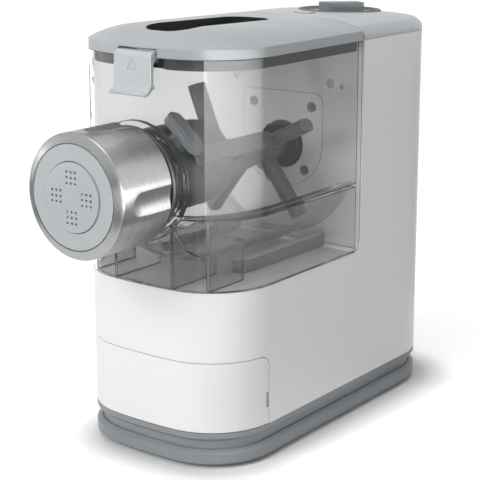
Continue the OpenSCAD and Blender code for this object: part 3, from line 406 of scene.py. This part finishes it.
def joined(name, *parts):
    """One skin over solids that are a single moulding in the real thing."""
    piece = skin(name, nodes[parts[0]].data.copy(), *parts)
    for part in parts[1:]:
        m = piece.modifiers.new("join", "BOOLEAN")
        m.operation, m.solver, m.object = "UNION", "EXACT", nodes[part]
    whole = bpy.data.meshes.new_from_object(piece.evaluated_get(bpy.context.evaluated_depsgraph_get()))
    piece.modifiers.clear()
    piece.data = whole
    weld(whole, SHARP)
    return piece


FACES_UP = 0.999  # least upward part of the normal of a level face
DECK_NEAR = 1e-5  # how near to the deck's height its own faces lie, in metres


def paint_deck_shade(mesh, margin):
    """Paints shade on the deck inside the foot of the chamber: a darker, matt ground, a margin in from its
    outline.
    """
    bm = bmesh.new()
    bm.from_mesh(mesh)
    top = [f for f in bm.faces if f.normal.z > FACES_UP and abs(f.calc_center_median().z - DECK) < DECK_NEAR]
    bmesh.ops.inset_region(bm, faces=top, thickness=margin, use_even_offset=True)
    for f in top:
        f.material_index = 1
    bm.to_mesh(mesh)
    bm.free()
    mesh.materials.append(deck_painted_shade)


# Across, above the axis and radius in millimetres of each moulded pit over the shield plate, with painted
# shade inside
PITS = (-39.8, 46.4, 3.2), (39.8, 46.4, 3.2), (49, 45, 1.8)
PIT_ROOM = 0.05  # what the test adds to a pit's radius, in millimetres
PITS_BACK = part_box("shield_plate")[1].y + 6 * MM  # all faces of the pits lie in front of this


def in_pit(centre, normal):
    """Whether a face is part of a pit."""
    return centre.y < PITS_BACK and any(
        math.hypot(centre.x - x * MM, centre.z - AXIS - z * MM) < (r + PIT_ROOM) * MM for x, z, r in PITS)


housing = joined("housing_skin", "main_housing", "deck_plate", "column_shell")
# The white deck under the chamber gets painted shade
paint_deck_shade(housing.data, 1.3 * MM)
# The pits get painted shade, darker than the white wall round them
repaint(housing.data, pit_painted_shade, in_pit)
soften(housing, 0.35)

# Width of the rounded edges in millimetres
for node, width in {
    "rear_panel": 0.2, "drawer_front": 0.4, "base_tray": 0.5, "extrusion_tube": 0.7, "tube_key": 0.7,
    "locking_cap": 0.35, "cap_core": 0.3, "shaping_disc": 0.3, "disc_insert": 0, "kneading_paddle": 1.0,
    "lid_collar": 0.3, "pour_grille": 0.3, "lid_latch": 0.5, "dial_ring": 0.3, "control_knob": 1.3,
    "start_button": 0.5, "storage_tray": 0.4, "spare_discs": 0.4, "column_cover": 0.3, "cord_gland": 0.4,
    "gear_frame": 0.5, "drive_coupling": 0.3, "motor_can": 0.4,
}.items():
    dressed(node, width)

SLOT_LOW, SLOT_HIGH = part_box("pour_grille")
SLOT_ROOM = 0.4 * MM  # how far outside the grille's box the walls may lie


def in_slot(centre, normal):
    """Whether a face is one of the walls of the pouring slot, which lie in its shadow."""
    return abs(normal.z) < 0.5 and all(
        a - SLOT_ROOM < v < b + SLOT_ROOM for a, v, b in zip(SLOT_LOW[:2], centre[:2], SLOT_HIGH[:2]))


lid = dressed("lid_shell", 0.3)
# The walls of the slot get painted shade, near black
repaint(lid.data, slot_painted_shade, in_slot)


def drawn_wall(name, path, thick, low, high, mat, node):
    """An upright wall of one thickness along a path in plan, riding with a CAD node."""
    mesh = bpy.data.meshes.new(name)
    bm = bmesh.new()
    rows = []
    for k, p in enumerate(path):
        before, after = Vector(path[max(0, k - 1)]), Vector(path[min(len(path) - 1, k + 1)])
        side = (after - before).normalized()
        off = Vector((-side.y, side.x)) * thick / 2
        a, b = Vector(p) + off, Vector(p) - off
        rows.append([bm.verts.new((q.x, q.y, z)) for q, z in ((a, low), (a, high), (b, high), (b, low))])
    for r, t in zip(rows, rows[1:]):
        for i in range(4):
            bm.faces.new((r[i], r[(i + 1) % 4], t[(i + 1) % 4], t[i]))
    bm.faces.new(rows[0][::-1])
    bm.faces.new(rows[-1])
    bmesh.ops.recalc_face_normals(bm, faces=bm.faces)
    bm.to_mesh(mesh)
    bm.free()
    piece = attach(name, mesh, mat, node)
    soften(piece, 0.15)
    return piece


# The pocket of the lid behind its latch closes the gap in the collar
WIDE, NEAR, DEEP, CUT = 19.2 * MM, FRONT + 3.6 * MM, FRONT + 6.2 * MM, 1.2 * MM
drawn_wall("latch_pocket",
           [(-WIDE, NEAR), (-WIDE, DEEP - CUT), (CUT - WIDE, DEEP), (0, DEEP - 0.4 * MM),
            (WIDE - CUT, DEEP), (WIDE, DEEP - CUT), (WIDE, NEAR)],
           thick=1 * MM, low=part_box("lid_collar")[0].z + 0.3 * MM, high=RIM + 1.6 * MM,
           mat=collar_dark, node="lid_collar")

# Low ridges under the trough, bent round at their front ends, their sides in painted shade: across and behind
# the front in millimetres
RIDGE = (29, 60), (32, 60.6), (34.8, 63), (36, 67), (36, 149.5)
for side, name in ((1, "ridge_right"), (-1, "ridge_left")):
    ridge = drawn_wall(name, [(side * x * MM, FRONT + y * MM) for x, y in RIDGE],
                       thick=7 * MM, low=DECK + 0.4 * MM, high=DECK + 9 * MM,
                       mat=ridge_painted_shade, node="mixing_chamber")
    # Their tops get the deck's painted shade
    repaint(ridge.data, deck_painted_shade, lambda centre, normal: normal.z > 0.9)


SAME_PLANE = 0.004  # largest angle between two faces of one flat, in radians
RULES = 3  # how many times larger a flat has to be than the next to give its corners its own normal


def flat_first(mesh, angle):
    """Gives the corners of large flat areas the flat's own normal, so that they show no ripple."""
    bm = bmesh.new()
    bm.from_mesh(mesh)
    bm.faces.ensure_lookup_table()
    flat, area = {}, []
    for face in bm.faces:
        if face.index in flat:
            continue
        flat[face.index] = len(area)
        total, todo = 0, [face]
        while todo:
            f = todo.pop()
            total += f.calc_area()
            for e in f.edges:
                for g in e.link_faces:
                    if g.index not in flat and g.normal.angle(f.normal, 0) < SAME_PLANE:
                        flat[g.index] = len(area)
                        todo.append(g)
        area.append(total)
    limit = math.radians(angle)
    normals = [None] * len(mesh.loops)
    for face, poly in zip(bm.faces, mesh.polygons):
        for loop, index in zip(face.loops, poly.loop_indices):
            near = [f for f in loop.vert.link_faces if f.normal.angle(face.normal, 0) < limit]
            sizes = {flat[f.index]: area[flat[f.index]] for f in near}
            best = max(near, key=lambda f: area[flat[f.index]])
            rest = max((v for k, v in sizes.items() if k != flat[best.index]), default=0)
            if area[flat[best.index]] > RULES * rest:
                normals[index] = best.normal.copy()
            else:
                normals[index] = sum((f.normal for f in near), Vector()).normalized()
    bm.free()
    mesh.normals_split_custom_set(normals)


LINE_ROOM = 0.02  # what the lines keep from the sides of the body, in millimetres


def edge_lines(name, mesh, angle, radius, mat, node):
    """Thin rods of painted shade along the edges of a mesh that are sharper than an angle, inside the width
    of the body.
    """
    bm = bmesh.new()
    bm.from_mesh(mesh)
    bmesh.ops.remove_doubles(bm, verts=bm.verts, dist=WELD)
    lines = bpy.data.curves.new(name, "CURVE")
    lines.dimensions = "3D"
    lines.bevel_depth = radius * MM
    lines.bevel_resolution = 1
    lines.use_fill_caps = True
    room = HALF - (radius + LINE_ROOM) * MM
    for e in bm.edges:
        if len(e.link_faces) == 2 and e.calc_face_angle(0) > math.radians(angle):
            line = lines.splines.new("POLY")
            line.points.add(1)
            for point, v in zip(line.points, e.verts):
                point.co = (max(-room, min(room, v.co.x)), v.co.y, v.co.z, 1)
    bm.free()
    attach(name, lines, mat, node)


# Painted shade along the clear chamber's edges, which gather the light and look dark there, and painted shade
# in the
# dark gap round the shield plate: CAD node, names of its skin and lines, angle of the edges, radius in
# millimetres, material
for node, skin_name, lines_name, angle, radius, mat in (
    ("mixing_chamber", "chamber_skin", "chamber_edges", 40, 0.24, clear_edge_painted_shade),
    ("shield_plate", "shield_skin", "shield_groove", 60, 0.16, groove),
):
    mesh = nodes[node].data.copy()
    weld(mesh, FINE_SHARP)
    flat_first(mesh, FINE_SHARP)
    skin(skin_name, mesh, node)
    edge_lines(lines_name, mesh, angle, radius, mat, node)


# ---------- Studio ----------

def seen(tree):
    """1 for camera, glossy and transmission rays, 0 for the rays that carry light to the object."""
    light = tree.nodes.new("ShaderNodeLightPath")
    total = light.outputs["Is Camera Ray"]
    for kind in ("Is Glossy Ray", "Is Transmission Ray"):
        either = tree.nodes.new("ShaderNodeMath")
        either.operation = "MAXIMUM"
        tree.links.new(total, either.inputs[0])
        tree.links.new(light.outputs[kind], either.inputs[1])
        total = either.outputs[0]
    return total


# The floor's own glow, and the rounded place round the foot where it is left out, which paints shade there
FLOOR_GLOW = 0.47
SHADE_R, SHADE_WIDE = 42 * MM, 26 * MM
SHADE_AT = (8 * MM, (FRONT + REAR) / 2 - 3 * MM, 0)
SHADE_HALF = (HALF - SHADE_R - 4 * MM, (REAR - FRONT) / 2 - SHADE_R, 0)
# What the glow gains further out, and the distances in metres at which that starts and ends
FAR_GLOW, FAR_START, FAR_END = 0.3, 0.35, 1.3
FLOOR_SIZE, FLOOR_Z = 6, -0.0002


def paper_floor():
    """A pale floor whose glow fades near the machine: painted shade round the foot, in which the lamps'
    contact shadow also shows.
    """
    mesh = bpy.data.meshes.new("studio_floor")
    bm = bmesh.new()
    bmesh.ops.create_grid(bm, x_segments=8, y_segments=8, size=FLOOR_SIZE)
    bm.to_mesh(mesh)
    bm.free()
    floor = bpy.data.objects.new("studio_floor", mesh)
    floor.location.z = FLOOR_Z
    scene.collection.objects.link(floor)
    g = Graph("paper_floor")
    g.feed(Base_Color=g.mix(g.noise(40), (0.80, 0.80, 0.80), (0.82, 0.82, 0.82)),
           Roughness=g.ranged(g.noise(300, 2), 0.75, 0.9))
    g.set(Specular_IOR_Level=0.1)
    # Distance from the rounded place round the foot, where the missing glow paints shade
    spot = g.vector("ABSOLUTE", g.vector("SUBTRACT", g.coord, SHADE_AT))
    past = g.vector("MAXIMUM", g.vector("SUBTRACT", spot, SHADE_HALF), (0, 0, 0))
    near = g.ranged(g.vector("LENGTH", past), 0, FLOOR_GLOW, SHADE_R, SHADE_R + SHADE_WIDE)
    far = g.ranged(g.vector("LENGTH", g.coord), 0, FAR_GLOW, FAR_START, FAR_END)
    glow = g.add("ShaderNodeEmission")
    glow.inputs["Color"].default_value = (1, 1, 1, 1)
    g.link(g.maths("MULTIPLY", g.maths("ADD", near, far), seen(g.tree)), glow.inputs["Strength"])
    both = g.add("ShaderNodeAddShader")
    g.link(g.shader.outputs[0], both.inputs[0])
    g.link(glow.outputs[0], both.inputs[1])
    g.link(both.outputs[0], g.out.inputs["Surface"])
    mesh.materials.append(g.mat)


paper_floor()

AMBIENT, BACKDROP = 0.24, 1.0  # the world's strength as light and as the white that is seen
world = bpy.data.worlds.new("studio")
scene.world = world
world.use_nodes = True
sky = world.node_tree
level = sky.nodes.new("ShaderNodeMapRange")
level.inputs["To Min"].default_value = AMBIENT
level.inputs["To Max"].default_value = BACKDROP
sky.links.new(seen(sky), level.inputs["Value"])
sky.nodes["Background"].inputs["Color"].default_value = (1, 1, 1, 1)
sky.links.new(level.outputs["Result"], sky.nodes["Background"].inputs["Strength"])


def lamp(name, at, aim, power, width, height, glossy=True):
    """A rectangular lamp that may stay out of the reflections."""
    data = bpy.data.lights.new(name, "AREA")
    data.shape = "RECTANGLE"
    data.size, data.size_y = width, height
    data.energy = power
    obj = bpy.data.objects.new(name, data)
    obj.location = at
    obj.rotation_euler = (Vector(aim) - Vector(at)).to_track_quat("-Z", "Y").to_euler()
    obj.visible_glossy = glossy
    scene.collection.objects.link(obj)


# Name, place, aim, power in watts, width and height in metres
lamp("key_front", (-0.35, -1.85, 1.15), (0, -0.05, 0.12), 28, 1.1, 1.2, glossy=False)
lamp("rim_right", (0.9, 1.3, 0.75), (0, 0.05, 0.15), 1.2, 0.8, 0.9)
lamp("corner_soft", (1.25, -1.45, 0.8), (0, -0.05, 0.12), 4, 0.5, 0.8, glossy=False)
lamp("top_soft", (0.1, -0.1, 1.9), (0, 0, 0.1), 15, 1.2, 1.2)

CARD_STEPS = 24


def card(name, start, end, radius, low, high, glow, levels=((0, 1), (1, 1)), foot=1, inner=None):
    """A curved card that only reflections see, round the object from one bearing to another.

    The levels give its brightness along the way, and foot that of its lower edge against the upper one.
    An inner radius for the lower edge lays the card down.
    """
    mesh = bpy.data.meshes.new(name)
    bm = bmesh.new()
    fade = bm.verts.layers.float.new("fade")
    edges = (inner or radius, low), (radius, high)
    rows = []
    for k in range(CARD_STEPS + 1):
        along = k / CARD_STEPS
        a = math.radians(start + (end - start) * along)
        level = levels[0][1]
        for (u, lu), (v, lv) in zip(levels, levels[1:]):
            if u <= along:
                level = lu + (lv - lu) * min(1, (along - u) / (v - u))
        rows.append([bm.verts.new((r * math.sin(a), -r * math.cos(a), z)) for r, z in edges])
        rows[-1][0][fade], rows[-1][1][fade] = level * foot, level
    for left, right in zip(rows, rows[1:]):
        bm.faces.new((left[0], right[0], right[1], left[1]))
    bm.to_mesh(mesh)
    bm.free()
    obj = bpy.data.objects.new(name, mesh)
    scene.collection.objects.link(obj)
    g = Graph(name)
    lit = g.add("ShaderNodeEmission")
    strength = g.add("ShaderNodeAttribute", attribute_name="fade").outputs["Fac"]
    g.link(g.ranged(strength, 0, glow, 0, 1), lit.inputs["Strength"])
    g.link(lit.outputs[0], g.out.inputs["Surface"])
    mesh.materials.append(g.mat)
    obj.visible_camera = obj.visible_diffuse = obj.visible_shadow = obj.visible_transmission = False


# Name, bearings in degrees from the front towards the right, radius, lower and upper edge in metres, glow
card("card_bright", 27, 122, 0.5, 0.01, 0.25, 19, foot=0.01,
     levels=((0, 1), (0.5, 0.95), (0.88, 0.42), (0.94, 0.12), (1, 0.01)))
card("card_front", -75, 14, 0.46, 0.0, 0.13, 0.3)
card("card_upper", -60, 14, 0.46, 0.13, 0.24, 4.5, foot=0.07,
     levels=((0, 1), (0.31, 1), (0.46, 0.1), (1, 0.1)))
card("card_gray", 118, 172, 0.37, 0.0, 0.25, 0.34)
card("card_high", 118, 176, 0.37, 0.25, 0.4, 1.6)
card("card_band", 148, 172, 1.0, 0.78, 1.0, 1.4)
card("card_left", 196, 252, 0.6, 0.0, 0.17, 0.3)
card("card_back", 172, 236, 1.2, 0.66, 1.5, 0.85)
card("card_floor", 20, 152, 0.62, 0.001, 0.001, 0.33, inner=0.15)


# ---------- Camera ----------

# Bearing, pitch, roll, place in metres, focal length in pixels and shift of the frame, from the photo's fit
AZIMUTH, PITCH, ROLL = math.radians(37.185), math.radians(13.221), math.radians(-0.054)
CAMERA_AT = (0.57606, -0.75918, 0.3755)
FOCAL_PX, FRAME_PX, SENSOR, SHIFT_Y = 1421.31, 480, 36, -0.08
back = Vector((math.sin(AZIMUTH) * math.cos(PITCH), -math.cos(AZIMUTH) * math.cos(PITCH), math.sin(PITCH)))
right = Vector((math.cos(AZIMUTH), math.sin(AZIMUTH), 0))
turn = Matrix((right, back.cross(right), back)).transposed() @ Matrix.Rotation(ROLL, 3, "Z")
camera = bpy.data.objects.new("camera", bpy.data.cameras.new("camera"))
camera.matrix_world = Matrix.Translation(CAMERA_AT) @ turn.to_4x4()
camera.data.sensor_width = SENSOR
camera.data.lens = FOCAL_PX / FRAME_PX * SENSOR
camera.data.shift_y = SHIFT_Y
camera.data.clip_start = 0.01
scene.collection.objects.link(camera)
scene.camera = camera
scene.view_settings.view_transform = "Standard"
